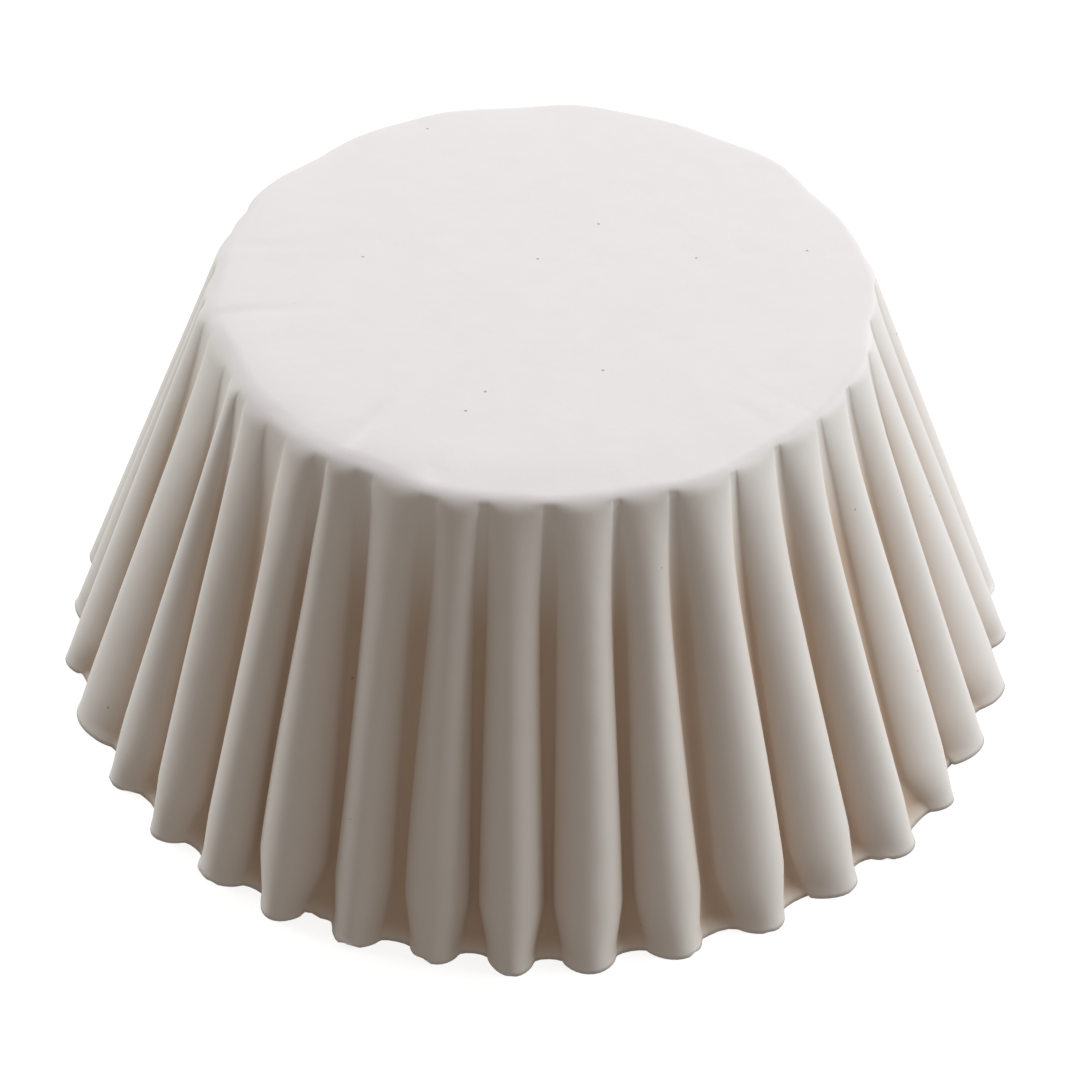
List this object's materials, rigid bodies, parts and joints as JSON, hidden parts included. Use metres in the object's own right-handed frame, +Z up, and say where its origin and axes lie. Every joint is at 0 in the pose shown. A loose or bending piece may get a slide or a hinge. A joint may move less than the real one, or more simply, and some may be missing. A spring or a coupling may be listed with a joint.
{
  "type": "paper baking cup",
  "caption": "Round pleated paper baking cup with a flat base and a flared fluted wall, standing mouth down on its cut rim.",
  "frame": {"origin": "middle of the cut rim, in the plane the rim stands on", "axes": "+Z up along the cup's axis from the open mouth to the base; -Y is the front, +X the right"},
  "size_m": [0.0744, 0.0748, 0.032],
  "materials": {
    "greaseproof_paper": "matt off-white greaseproof paper"
  },
  "bodies": {
    "root": {"pleated_cup": "greaseproof_paper"}
  },
  "joints": []
}
